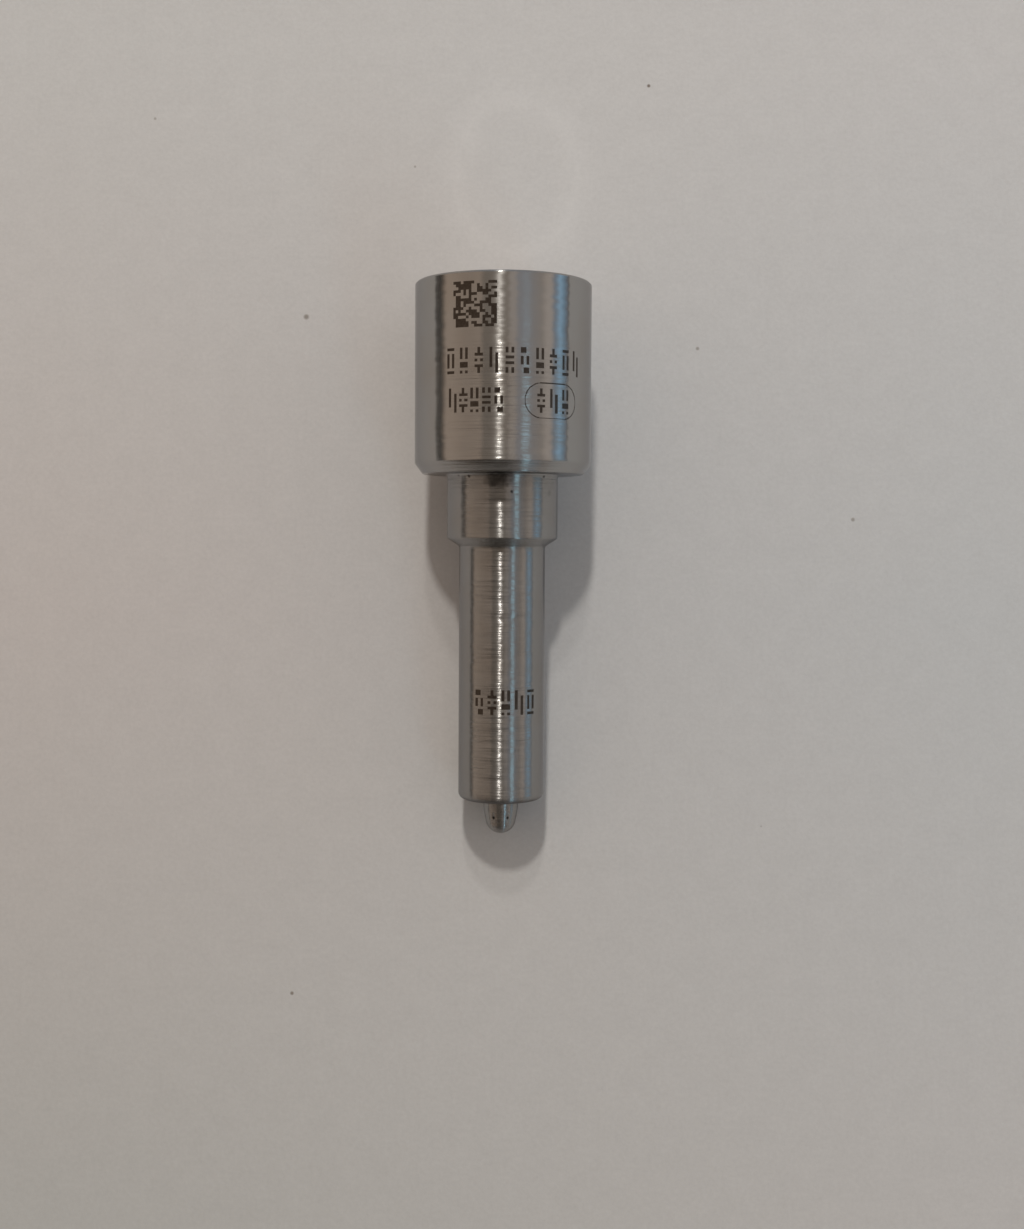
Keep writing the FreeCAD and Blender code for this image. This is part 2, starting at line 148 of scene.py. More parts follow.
def finish_mesh(name, mesh, sharp_deg=32):
    """Faces outward, smooth shading with crisp edges, and an object in the scene."""
    bm = bmesh.new()
    bm.from_mesh(mesh)
    bmesh.ops.recalc_face_normals(bm, faces=bm.faces)
    bm.to_mesh(mesh)
    bm.free()
    mesh.polygons.foreach_set("use_smooth", [True] * len(mesh.polygons))
    mesh.set_sharp_from_angle(angle=math.radians(sharp_deg))
    mesh.update()
    obj = bpy.data.objects.new(name, mesh)
    bpy.context.scene.collection.objects.link(obj)
    return obj


def even_angles(count):
    return [2 * math.pi * k / count for k in range(count)]


# ------------------------------------------------------------- laser marks
# Abstract block patterns stand where the real part carries its codes.
GLYPH_COLUMNS, GLYPH_ROWS = 3, 9
GLYPHS = [
    ["#.#", "#.#", "#.#", "#.#", "...", "###", "###", "...", "#.#"],
    ["##.", "##.", "...", "#.#", "#.#", "#.#", "...", ".##", ".##"],
    ["#..", "#..", "#.#", "#.#", "#.#", "#.#", "#.#", "..#", "..#"],
    ["###", "...", "#.#", "#.#", "#.#", "#.#", "#.#", "...", "###"],
    [".#.", ".#.", "###", "...", "#.#", "...", "###", ".#.", ".#."],
    ["#.#", "#.#", "...", "###", "...", "###", "...", "#.#", "#.#"],
]
# The turn between two fine columns of faces, and where they start and stop.
FINE_DEG, FINE_FROM_DEG, FINE_TO_DEG = 0.45, -37.8, 57.0
ON_RADIUS = 0.02
CODE_CELLS, CODE_CELL_DEG = 16, FINE_DEG * 4
CODE_TOP, CODE_END, CODE_LEFT_DEG = 0.82, 4.33, -32.4
dice = random.Random(41)
CODE = [[dice.random() < 0.66 for _ in range(CODE_CELLS)] for _ in range(CODE_CELLS)]
for cells in CODE:
    for spot in range(1, CODE_CELLS):
        if dice.random() < 0.2:
            cells[spot] = cells[spot - 1]


class Line:
    """One row of glyphs: where it stands on its cylinder and which glyphs it shows."""

    def __init__(self, radius, top, end, left_deg, pitch_deg, cell_deg, glyphs):
        self.radius, self.top, self.end = radius, top, end
        self.left_deg, self.pitch_deg, self.cell_deg = left_deg, pitch_deg, cell_deg
        self.glyphs = glyphs

    def covers(self, r, d, deg):
        if abs(r - self.radius) > ON_RADIUS or not self.top < d < self.end:
            return False
        place = (deg - self.left_deg) / self.pitch_deg
        number = math.floor(place)
        if not 0 <= number < len(self.glyphs):
            return False
        column = math.floor((place - number) * self.pitch_deg / self.cell_deg)
        if column >= GLYPH_COLUMNS:
            return False
        row = min(GLYPH_ROWS - 1, int((d - self.top) / (self.end - self.top) * GLYPH_ROWS))
        return GLYPHS[self.glyphs[number]][row][column] == "#"


LINES = [
    Line(COLLAR_R, 5.88, 7.87, -37.1, 9.68, 1.85, [3, 0, 4, 2, 5, 1, 0, 4, 3, 2]),
    Line(COLLAR_R, 8.97, 10.85, -35.4, 7.58, 1.85, [2, 4, 0, 5, 1]),
    Line(COLLAR_R, 8.97, 10.85, 21.9, 9.25, 1.85, [4, 2, 0]),
    Line(SHANK_R, 32.66, 34.66, -36.1, 18.2, 4.0, [1, 4, 0, 2, 3]),
]
OVAL_DEG, OVAL_DEPTH = 33.3, 9.90
OVAL_HALF_LONG, OVAL_HALF_TALL, OVAL_LINE = 2.44, 1.38, 0.08


def in_code(r, d, deg):
    if abs(r - COLLAR_R) > ON_RADIUS or not CODE_TOP < d < CODE_END:
        return False
    column = math.floor((deg - CODE_LEFT_DEG) / CODE_CELL_DEG)
    if not 0 <= column < CODE_CELLS:
        return False
    row = int((d - CODE_TOP) / (CODE_END - CODE_TOP) * CODE_CELLS)
    return CODE[row][column]


def in_oval(r, d, deg):
    if abs(r - COLLAR_R) > ON_RADIUS:
        return False
    along = abs(math.radians(deg - OVAL_DEG) * COLLAR_R)
    across = abs(d - OVAL_DEPTH)
    straight = OVAL_HALF_LONG - OVAL_HALF_TALL
    away = math.hypot(max(0.0, along - straight), across)
    return OVAL_HALF_TALL - OVAL_LINE < away < OVAL_HALF_TALL


def is_marked(r, d, angle):
    deg = math.degrees(angle)
    if deg > 180:
        deg -= 360
    if in_code(r, d, deg) or in_oval(r, d, deg):
        return True
    return any(line.covers(r, d, deg) for line in LINES)


def even_rows(top, end, count, before=0, after=0):
    """Depths that part top..end into this many rows, carried on by some rows on either side."""
    return [top + (end - top) * k / count for k in range(-before, count + after + 1)]


def mark_rows():
    """Depths of the fine rows that the marks need, for the collar and for the lower shank."""
    first, second, _, low = LINES
    fine = GLYPH_ROWS * 4
    collar = even_rows(CODE_TOP, CODE_END, CODE_CELLS * 3)
    collar += even_rows(first.top, first.end, fine)
    collar += even_rows(second.top, second.end, fine, before=10, after=11)
    collar += [0.4, 4.9, 5.4, 12.0, 12.8, 13.6]  # plain rows between and below the marks
    shank = even_rows(low.top, low.end, fine)
    shank += [d for d in range(23, 42) if d not in (33, 34)]
    return collar, shank


def mark_angles():
    """Fine steps where the marks are, coarser ones round the back."""
    angles = []
    deg = FINE_FROM_DEG
    while deg < FINE_FROM_DEG + 360 - FINE_DEG:
        angles.append(math.radians(deg))
        deg += FINE_DEG if deg < FINE_TO_DEG - 1e-6 else 1.0
    return angles


# ---------------------------------------------------------------- materials
class Nodes:
    """Short calls for building a node tree."""

    def __init__(self, tree):
        self.tree = tree

    def add(self, kind, **inputs):
        node = self.tree.nodes.new(kind)
        for key, value in inputs.items():
            self.feed(node, key.replace("_", " "), value)
        return node

    def feed(self, node, key, value):
        socket = node.inputs[int(key)] if key.isdigit() else node.inputs[key]
        if isinstance(value, bpy.types.NodeSocket):
            self.tree.links.new(value, socket)
        else:
            socket.default_value = value

    def math(self, operation, a, b=None):
        node = self.tree.nodes.new("ShaderNodeMath")
        node.operation = operation
        self.feed(node, "0", a)
        if b is not None:
            self.feed(node, "1", b)
        return node.outputs[0]

    def product(self, first, *others):
        for other in others:
            first = self.math("MULTIPLY", first, other)
        return first

    def total(self, a, b):
        return self.math("ADD", a, b)

    def gap(self, a, b):
        return self.math("ABSOLUTE", self.math("SUBTRACT", a, b))

    def length(self, a, b):
        return self.math("SQRT", self.total(self.product(a, a), self.product(b, b)))

    def vector(self, operation, a, b=None, scale=None):
        node = self.tree.nodes.new("ShaderNodeVectorMath")
        node.operation = operation
        self.feed(node, "0", a)
        if b is not None:
            self.feed(node, "1", b)
        if scale is not None:
            self.feed(node, "Scale", scale)
        return node.outputs["Value" if operation == "DISTANCE" else 0]

    def noise(self, vector, scale, detail, rough):
        node = self.add("ShaderNodeTexNoise", Vector=vector, Scale=scale, Detail=detail, Roughness=rough)
        return node.outputs["Fac"]

    def spread(self, value, low, high, to_low, to_high, smooth=False):
        """Carries low..high over to to_low..to_high and holds the ends."""
        node = self.tree.nodes.new("ShaderNodeMapRange")
        if smooth:
            node.interpolation_type = "SMOOTHSTEP"
        names = ("Value", "From Min", "From Max", "To Min", "To Max")
        for key, number in zip(names, (value, low, high, to_low, to_high)):
            self.feed(node, key, number)
        return node.outputs["Result"]

    def blend(self, factor, a, b, kind="MIX"):
        node = self.tree.nodes.new("ShaderNodeMix")
        node.data_type = "RGBA"
        node.blend_type = kind
        self.feed(node, "0", factor)
        self.feed(node, "6", a)
        self.feed(node, "7", b)
        return node.outputs[2]

    def ramp(self, share, stops):
        """Colours along 0..1, given as (place, colour)."""
        node = self.tree.nodes.new("ShaderNodeValToRGB")
        self.feed(node, "0", share)
        elements = node.color_ramp.elements
        elements[0].position, elements[1].position = stops[0][0], stops[-1][0]
        elements[0].color, elements[1].color = (*stops[0][1], 1), (*stops[-1][1], 1)
        for place, color in stops[1:-1]:
            elements.new(place).color = (*color, 1)
        return node.outputs[0]


class Surface(Nodes):
    """A material's nodes and its shader."""

    def __init__(self, name, metallic=1.0):
        self.material = bpy.data.materials.new(name)
        self.material.use_nodes = True
        super().__init__(self.material.node_tree)
        self.shader = self.tree.nodes["Principled BSDF"]
        self.place = self.tree.nodes.new("ShaderNodeTexCoord").outputs["Object"]
        self.place_mm = self.vector("SCALE", self.place, scale=1 / MM)
        self.set("Metallic", metallic)

    def set(self, key, value):
        self.feed(self.shader, key, value)

    def relief(self, height, strength, deep_mm):
        bump = self.add("ShaderNodeBump", Strength=strength, Distance=deep_mm * MM, Height=height)
        self.set("Normal", bump.outputs[0])

    def lathe_place(self):
        """Coordinates that follow the turning: angle about the axis, depth and radius in millimetres."""
        x, y, z = self.add("ShaderNodeSeparateXYZ", Vector=self.place).outputs
        depth = self.product(y, -1 / MM)
        radius = self.product(self.length(x, z), 1 / MM)
        return self.math("ARCTAN2", x, z), depth, radius

    def turned_noise(self, around, per_mm, scale, detail):
        """Noise drawn out round the axis, the way turning and grinding leave it."""
        angle, depth, radius = self.lathe_place()
        spot = self.add("ShaderNodeCombineXYZ", X=self.product(angle, around),
                        Y=self.product(depth, per_mm), Z=self.product(radius, per_mm))
        return self.noise(spot.outputs[0], scale, detail, 0.6)


WORN_GREY = (0.10, 0.10, 0.10, 1)
GROOVE_GREY = (0.12, 0.115, 0.11, 1)
SOOT_BROWN = (0.05, 0.045, 0.04, 1)
# The next colour is the painted dark reflection and shade at the shank's end.
PAINTED_RIM_SHADE = (0.06, 0.05, 0.05, 1)
# The shanks are ground more coarsely than the collar. They lie inside this radius.
SLIM_R = 4.6
# Painted dark reflection and shade at the shank's end, where the corner turns in: from, to, and the radius it
# stays outside of.
RIM_FROM, RIM_TO, RIM_R = 41.5, 41.75, 2.0


def add_soot(n, tone, soot):
    """Ragged dark spots, each given as turn in degrees, depth, radius, size in millimetres, darkness."""
    ragged = n.noise(n.place_mm, 3.0, 3.0, 0.6)
    for turn, depth, radius, size, dark in soot:
        turn = math.radians(turn)
        middle = Vector((radius * math.sin(turn), -depth, radius * math.cos(turn))) * MM
        away = n.vector("DISTANCE", n.place, middle)
        away = n.product(away, n.spread(ragged, 0.3, 0.7, 0.7 / MM, 1.3 / MM))
        tone = n.blend(n.spread(away, size * 0.6, size, dark, 0.0), tone, SOOT_BROWN)
    return tone


def groove_reach(n, depth, slim, sway):
    """How far the grooves tip the surface: more towards the tip, and in a band over the collar's middle."""
    band = n.product(n.spread(depth, 4.6, 5.3, 0.0, 0.35), n.spread(depth, 8.2, 9.2, 1.0, 0.0))
    base = n.total(band, n.spread(depth, 0.0, 9.0, 0.0, 2.0))
    return n.product(n.total(n.product(slim, 0.75), base), sway)


def ground_steel(name, color, tint, rough, anisotropy, sway=1.0, wander=0.012, soot=()):
    """Steel ground round its axis. Fine grooves stretch each glint along the axis and fray its sides."""
    n = Surface(name)
    _, depth, radius = n.lathe_place()
    groove = n.turned_noise(1.1, 55.0, 1.0, 3.0)
    swell = n.turned_noise(1.7, 2.4, 1.0, 2.0)
    stain = n.noise(n.place_mm, 0.22, 5.0, 0.6)
    slim = n.math("LESS_THAN", radius, SLIM_R)

    tone = n.blend(n.spread(stain, 0.45, 0.75, 0.0, 0.5), color, tint)
    tone = n.blend(n.product(slim, 0.17), tone, WORN_GREY)
    tone = n.blend(n.spread(groove, 0.3, 0.7, 0.0, 0.05), tone, GROOVE_GREY)
    tone = add_soot(n, tone, soot)
    # Painted dark reflection and shade on the shank's end corner.
    rim = n.product(n.spread(depth, RIM_FROM, RIM_TO, 0.0, 0.65), n.math("GREATER_THAN", radius, RIM_R))
    n.set("Base Color", n.blend(rim, tone, PAINTED_RIM_SHADE))
    grain = n.total(n.spread(swell, 0.3, 0.7, -0.008, 0.012), n.product(slim, 0.045))
    n.set("Roughness", n.total(grain, rough))
    n.set("Specular Tint", (0.72, 0.72, 0.74, 1))
    n.set("Anisotropic", anisotropy)
    n.set("Anisotropic Rotation", 0.25)
    tangent = n.tree.nodes.new("ShaderNodeTangent")
    tangent.direction_type = "RADIAL"
    tangent.axis = "Y"
    n.set("Tangent", tangent.outputs[0])

    facing = n.tree.nodes.new("ShaderNodeNewGeometry").outputs["Normal"]
    lean = n.product(n.math("SUBTRACT", groove, 0.5), groove_reach(n, depth, slim, sway))
    along = n.add("ShaderNodeCombineXYZ", Y=lean)
    across = n.product(n.math("SUBTRACT", swell, 0.5), wander * 6)
    leaned = n.vector("ADD", facing, along.outputs[0])
    leaned = n.vector("ADD", leaned, n.vector("SCALE", tangent.outputs[0], scale=across))
    n.set("Normal", n.vector("NORMALIZE", leaned))
    return n.material


def lapped_steel(name):
    """The lapped sealing face: almost a mirror, with a faint random haze."""
    n = Surface(name)
    haze = n.noise(n.place_mm, 2.5, 5.0, 0.6)
    clean, dull = (0.52, 0.515, 0.50, 1), (0.44, 0.42, 0.39, 1)
    n.set("Base Color", n.blend(n.spread(haze, 0.4, 0.7, 0.0, 0.4), clean, dull))
    n.set("Roughness", n.spread(haze, 0.3, 0.7, 0.10, 0.17))
    n.relief(haze, 0.15, 0.002)
    return n.material


def laser_oxide(name):
    """Laser annealed marks: dark brown oxide that still mirrors a little of the room."""
    n = Surface(name)
    speck = n.noise(n.place_mm, 7.0, 4.0, 0.7)
    dark, thin = (0.068, 0.056, 0.047, 1), (0.13, 0.115, 0.10, 1)
    n.set("Base Color", n.blend(n.spread(speck, 0.4, 0.75, 0.0, 0.8), dark, thin))
    n.set("Roughness", n.spread(speck, 0.3, 0.7, 0.30, 0.40))
    n.relief(speck, 0.2, 0.004)
    return n.material


def oiled_wire(name):
    """Drawn spring wire, dark with oil."""
    n = Surface(name)
    streak = n.turned_noise(0.5, 5.0, 3.0, 4.0)
    n.set("Base Color", n.blend(streak, (0.26, 0.245, 0.23, 1), (0.40, 0.385, 0.36, 1)))
    n.set("Roughness", n.spread(streak, 0.3, 0.7, 0.24, 0.38))
    n.set("Coat Weight", 0.35)
    n.set("Coat Roughness", 0.15)
    n.relief(streak, 0.25, 0.006)
    return n.material


def bore_steel(name):
    """Bored and honed inner walls, darker with fuel oil."""
    n = Surface(name)
    ring = n.turned_noise(0.4, 6.0, 2.0, 3.0)
    n.set("Base Color", n.blend(ring, (0.24, 0.225, 0.205, 1), (0.36, 0.345, 0.32, 1)))
    n.set("Roughness", n.spread(ring, 0.3, 0.7, 0.22, 0.36))
    n.relief(ring, 0.3, 0.008)
    return n.material


# Darker patches at the shoulder root, then dark oil specks near it, then the soot round the front spray
# holes.
SHOULDER_DARK_SPOTS = [
    (-10.0, 15.9, NECK_R, 0.75, 0.42), (-3.0, 15.9, NECK_R, 0.85, 0.5), (4.5, 15.8, NECK_R, 0.7, 0.4),
    (-35.7, 15.62, NECK_R, 0.16, 0.9), (-50.0, 15.55, NECK_R, 0.13, 0.8), (9.8, 16.85, NECK_R, 0.13, 0.8),
    (47.0, 15.6, NECK_R, 0.16, 0.8), (57.0, 16.9, NECK_R, 0.30, 0.2),
]
HOLE_SOOT = [(side * step * 360 / HOLE_COUNT, HOLE_DEPTH, HOLE_OUT_R, 2 * HOLE_R, dark)
             for step, dark in ((0.5, 0.95), (1.5, 0.8)) for side in (1, -1)]

body_steel = ground_steel("ground_steel", (0.43, 0.425, 0.415, 1), (0.40, 0.365, 0.325, 1), 0.21, 1.0,
                          soot=SHOULDER_DARK_SPOTS + HOLE_SOOT)
lapped = lapped_steel("lapped_steel")
oxide = laser_oxide("laser_oxide")
bored = bore_steel("bored_steel")
needle_steel = ground_steel("needle_steel", (0.50, 0.495, 0.49, 1), (0.42, 0.39, 0.35, 1), 0.24, 0.9,
                            sway=0.6, wander=0.008)
sleeve_steel = ground_steel("sleeve_steel", (0.47, 0.465, 0.455, 1), (0.40, 0.37, 0.33, 1), 0.28, 0.85,
                            sway=0.7, wander=0.01)
ring_steel = ground_steel("ring_steel", (0.45, 0.44, 0.43, 1), (0.37, 0.34, 0.30, 1), 0.33, 0.7, sway=0.9)
wire_steel = oiled_wire("oiled_wire")


# ------------------------------------------------------------- nozzle body
DOME_DEPTH, DOME_R = 43.95, 1.19
FACE_R, FACE_CHAMFER = 7.0, 0.15
OPENING_END, CHAMBER_R, CHAMBER_END = 1.2, 4.25, 13.6
GALLERY_R, GALLERY_TOP, GALLERY_END = 2.9, 14.4, 19.6
BORE_R, BORE_TOP, SEAT_TOP = 2.02, 20.2, 39.7
SAC_R, SAC_TOP, SAC_END = 0.4, 42.506, 43.75


def body_profile():
    """Outside from the tip's apex up to the sealing face, then down the bores to the end of the sac."""
    height = TIP_END - DOME_DEPTH
    ball = (DOME_R ** 2 + height ** 2) / (2 * height)
    dome = arc_points(TIP_END - ball, ball, TIP_END, DOME_DEPTH, 22)
    dome[0] = (0.0, TIP_END)
    outside = [
        (DOME_R, DOME_DEPTH, 0), (HOLE_OUT_R, HOLE_DEPTH, 1.5), (1.42, 42.7, 1.5), (1.45, SHANK_END, 0.3),
        (SHANK_R, SHANK_END, 0.55), (SHANK_R, CONE_END, 0.25), (NECK_R, CONE_TOP, 0.25),
        (NECK_R, SHOULDER, 0.4), (6.53, SHOULDER, 0.05), (COLLAR_R, CHAMFER_TOP, 0.08),
        (COLLAR_R, FACE_CHAMFER, 0.05), (FACE_R, 0.0, 0.03),
    ]
    inside = [
        (NECK_R, 0.0, 0.03), (NECK_R, OPENING_END, 0.05), (CHAMBER_R, OPENING_END, 0.03),
        (CHAMBER_R, CHAMBER_END, 0.1), (GALLERY_R, GALLERY_TOP, 0.1), (GALLERY_R, GALLERY_END, 0.1),
        (BORE_R, BORE_TOP, 0.05), (BORE_R, SEAT_TOP, 0.05), (SAC_R, SAC_TOP, 0.02), (SAC_R, HOLE_DEPTH, 0),
    ]
    sac = arc_points(HOLE_DEPTH, SAC_R, HOLE_DEPTH, SAC_END, 8)
    sac[-1] = (0.0, SAC_END)
    return dome[:-1] + rounded(outside + inside, steps=7) + sac[1:]


BODY, LAPPED, OXIDE, BORE = range(4)


def bore_limit(d):
    """Just outside the inner wall at this depth."""
    if d < CHAMFER_TOP:
        return NECK_R + 0.01
    return GALLERY_R + 0.05 if d < BORE_TOP + 0.1 else BORE_R + 0.03


def body_finish(r, d, angle):
    if d < 0.004 and NECK_R + 0.02 < r < FACE_R - 0.01:
        return LAPPED
    if is_marked(r, d, angle):
        return OXIDE
    in_wall = d > SHANK_END - 0.05 and r > SAC_R + 0.05
    return BORE if d > 0.03 and r < bore_limit(d) and not in_wall else BODY


def spray_cutter():
    """Thin round cutters, one for each spray hole, that slope towards the tip on their way out."""
    verts, faces = [], []
    slope, sides = math.radians(15), 20
    near_end, far_end = 0.2 * MM, 1.8 * MM
    start = Vector((0, -(HOLE_DEPTH - HOLE_OUT_R * math.tan(slope)) * MM, 0))
    for k in range(HOLE_COUNT):
        a = math.pi + 2 * math.pi * k / HOLE_COUNT
        out = Vector((math.sin(a) * math.cos(slope), -math.sin(slope), math.cos(a) * math.cos(slope)))
        side = out.cross(Vector((0, 1, 0))).normalized()
        up = side.cross(out)
        base = len(verts)
        for end in (near_end, far_end):
            for s in range(sides):
                t = 2 * math.pi * s / sides
                verts.append(start + out * end + (side * math.cos(t) + up * math.sin(t)) * HOLE_R * MM)
        faces.append([base + s for s in range(sides)])
        faces.append([base + sides + s for s in reversed(range(sides))])
        for s in range(sides):
            m = (s + 1) % sides
            faces.append([base + s, base + m, base + sides + m, base + sides + s])
    mesh = bpy.data.meshes.new("spray_cutter")
    mesh.from_pydata(verts, [], faces)
    return finish_mesh("spray_cutter", mesh)


def cut(obj, cutter):
    """Takes the cutter's shape out of the object for good."""
    modifier = obj.modifiers.new("cut", "BOOLEAN")
    modifier.operation = "DIFFERENCE"
    modifier.solver = "EXACT"
    modifier.object = cutter
    bpy.context.view_layer.update()
    done = obj.evaluated_get(bpy.context.evaluated_depsgraph_get())
    mesh = bpy.data.meshes.new_from_object(done)
    obj.modifiers.clear()
    obj.data = mesh
    bpy.data.objects.remove(cutter)


def make_body():
    collar_rows, shank_rows = mark_rows()
    points = add_rows(body_profile(), collar_rows, COLLAR_R)
    points = add_rows(points, shank_rows, SHANK_R)
    body = lathe("nozzle_body_steel", points, mark_angles(), False, body_finish)
    for material in (body_steel, lapped, oxide, bored):
        body.data.materials.append(material)
    cut(body, spray_cutter())
    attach(body, "housing")
    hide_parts("nozzle_body")


# ------------------------------------------------------------------ needle
LAND_R, NEEDLE_COLLAR_R, NEEDLE_NECK_R, STEM_R = 2.0, 2.6, 1.7, 1.5
# Three flats let the fuel past each guide land. FLAT is their distance from the axis.
FLAT, FLAT_COUNT = 1.55, 3
LANDS = ((20.3, 30.1), (35.1, 38.3))


def make_needle():
    corners = [
        (0, 3.3, 0), (1.7, 3.3, 0.05), (LAND_R, 3.6, 0.05), (LAND_R, 13.4, 0.04),
        (NEEDLE_COLLAR_R, 13.4, 0.08), (NEEDLE_COLLAR_R, 14.6, 0.08), (NEEDLE_NECK_R, 14.6, 0.1),
        (NEEDLE_NECK_R, 20.3, 0.1), (LAND_R, 20.8, 0.05), (LAND_R, 29.6, 0.05), (STEM_R, 30.1, 0.1),
        (STEM_R, 35.1, 0.1), (LAND_R, 35.6, 0.05), (LAND_R, 37.8, 0.05), (STEM_R, 38.3, 0.1),
        (STEM_R, 40.55, 0.03), (1.05, 41.36, 0.01), (0.3, 42.58, 0.02), (0, 42.58, 0),
    ]
    edge = math.acos(FLAT / LAND_R)
    turns = [math.pi / 2 + 2 * math.pi * k / FLAT_COUNT for k in range(FLAT_COUNT)]
    edges = {round((turn + side * edge) % (2 * math.pi), 6) for turn in turns for side in (-1, 1)}
    angles = sorted({round(a, 6) for a in even_angles(180)} | edges)
    needle = lathe("nozzle_needle_steel", rounded(corners, steps=5), angles, False)
    flats = [Vector((math.sin(turn), 0, math.cos(turn))) for turn in turns]
    for vertex in needle.data.vertices:
        depth = -vertex.co.y / MM
        if not any(top < depth < end for top, end in LANDS):
            continue
        for side in flats:
            over = vertex.co.dot(side) - FLAT * MM
            if over > 1e-9:
                vertex.co -= side * over
    needle.data.set_sharp_from_angle(angle=math.radians(20))
    needle.data.materials.append(needle_steel)
    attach(needle, "needle")
    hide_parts("nozzle_needle")


# ---------------------------------------------------------- sleeve and rings
def make_ring(name, corners, material, body, node):
    ring = lathe(name, rounded(corners, closed=True, steps=4), even_angles(240), True)
    ring.data.materials.append(material)
    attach(ring, body)
    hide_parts(node)


def make_rings():
    make_ring("control_sleeve_steel", [
        (2.4, 1.3, 0.02), (2.65, 1.3, 0.02), (3.1, 1.8, 0.05), (3.1, 4.3, 0.1), (3.75, 4.3, 0.03),
        (3.9, 4.45, 0.03), (3.9, 5.15, 0.03), (3.75, 5.3, 0.03), (2.02, 5.3, 0.03), (2.02, 1.75, 0.03),
    ], sleeve_steel, "sleeve", "control_sleeve")
    make_ring("adjusting_shim_steel", [
        (2.05, 11.9, 0.02), (3.65, 11.9, 0.02), (3.8, 12.05, 0.02), (3.8, 12.25, 0.02), (3.65, 12.4, 0.02),
        (2.05, 12.4, 0.02),
    ], ring_steel, "spring_seat", "adjusting_shim")
    make_ring("spring_seat_ring_steel", [
        (2.05, 12.4, 0.02), (3.75, 12.4, 0.02), (3.9, 12.55, 0.03), (3.9, 13.25, 0.03), (3.75, 13.4, 0.02),
        (2.05, 13.4, 0.02),
    ], ring_steel, "spring_seat", "spring_seat_ring")


# ------------------------------------------------------------------ spring
WIRE_R, COIL_R = 0.6, 3.25
SPRING_TOP, SPRING_END, NEEDLE_LIFT = 5.3, 11.9, 0.25
# Turns from the top and the wire's depth there: a closed end, open coils, a closed end.
COILS = [(0.0, 5.5), (1.0, 6.75), (3.5, 10.45), (4.5, 11.7)]
STEPS_PER_TURN, WIRE_SIDES = 96, 28


def coil_depth(turn):
    for (turn_0, depth_0), (turn_1, depth_1) in zip(COILS, COILS[1:]):
        if turn <= turn_1 + 1e-9:
            return depth_0 + (depth_1 - depth_0) * (turn - turn_0) / (turn_1 - turn_0)


def make_spring():
    """Round wire on a helix with closed ends, ground flat at both ends."""
    verts, faces = [], []
    steps = int(COILS[-1][0] * STEPS_PER_TURN)
    for i in range(steps + 1):
        turn = i / STEPS_PER_TURN
        a = math.pi / 2 + 2 * math.pi * turn
        for s in range(WIRE_SIDES):
            u = 2 * math.pi * s / WIRE_SIDES
            r = COIL_R + WIRE_R * math.cos(u)
            d = min(SPRING_END, max(SPRING_TOP, coil_depth(turn) + WIRE_R * math.sin(u)))
            verts.append((r * math.sin(a) * MM, -d * MM, r * math.cos(a) * MM))
    for i in range(steps):
        here, there = i * WIRE_SIDES, (i + 1) * WIRE_SIDES
        for s in range(WIRE_SIDES):
            m = (s + 1) % WIRE_SIDES
            faces.append([here + s, here + m, there + m, there + s])
    faces.append(list(range(WIRE_SIDES)))
    faces.append([steps * WIRE_SIDES + s for s in reversed(range(WIRE_SIDES))])
    mesh = bpy.data.meshes.new("closing_spring_wire")
    mesh.from_pydata(verts, [], faces)
    spring = finish_mesh("closing_spring_wire", mesh, 40)
    spring.data.materials.append(wire_steel)
    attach(spring, "sleeve")
    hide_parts("closing_spring")
    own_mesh(spring)


# ------------------------------------------------------------------- stage
# The nozzle lies on its collar and on the end of its shank, so the paper under it is tilted.
TILT = math.radians(7.73)
FLOOR_UP = Vector((0, math.sin(TILT), math.cos(TILT)))
FLOOR_ALONG = Vector((0, math.cos(TILT), -math.sin(TILT)))
FLOOR_POINT = Vector((0, -14.5, -7.16)) * MM
FLOOR_SHIFT, FLOOR_HALF = -12.5 * MM, 1.2

# Paper tones with painted light and shade, down the left and the right edge of the view: near end, middle,
# far end. They darken towards the near end, warm on the left and cool on the right.
PAPER_LIGHT_LEFT = ((0.59, 0.59, 0.57), (0.71, 0.67, 0.65), (0.79, 0.79, 0.78))
PAPER_LIGHT_RIGHT = ((0.68, 0.68, 0.68), (0.70, 0.73, 0.75), (0.81, 0.82, 0.83))
VIEW_HALF_WIDE, VIEW_HALF_LONG = 40.0, 50.0
PAPER_SHADE = (0.06, 0.055, 0.05, 1)
# Dust on the paper: x, y, radius in millimetres, darkness.
DUST = [
    (12.6, 46.65, 0.20, 0.8), (-30.8, 43.4, 0.16, 0.4), (-17.2, 25.7, 0.30, 0.6), (16.8, 23.1, 0.20, 0.5),
    (30.1, 8.2, 0.22, 0.5), (-17.4, -32.1, 0.20, 0.7), (-7.9, 39.2, 0.14, 0.4), (22.0, -18.0, 0.10, 0.3),
]
DUST_BROWN = (0.16, 0.11, 0.07, 1)
# Ring of light that the lapped face throws on the paper: middle and half sizes in millimetres.
RING_X, RING_Y, RING_HALF_WIDE, RING_HALF_LONG = 1.0, 38.5, 5.3, 6.9
RING_SOFT, RING_GAIN = 0.48, 0.048


def thrown_ring(n, x, y):
    dx = n.math("DIVIDE", n.math("SUBTRACT", x, RING_X), RING_HALF_WIDE)
    dy = n.math("DIVIDE", n.math("SUBTRACT", y, RING_Y), RING_HALF_LONG)
    ring = n.spread(n.gap(n.length(dx, dy), 1.0), 0.0, RING_SOFT, 1.0, 0.0)
    return n.total(n.product(ring, ring, RING_GAIN), 1.0)


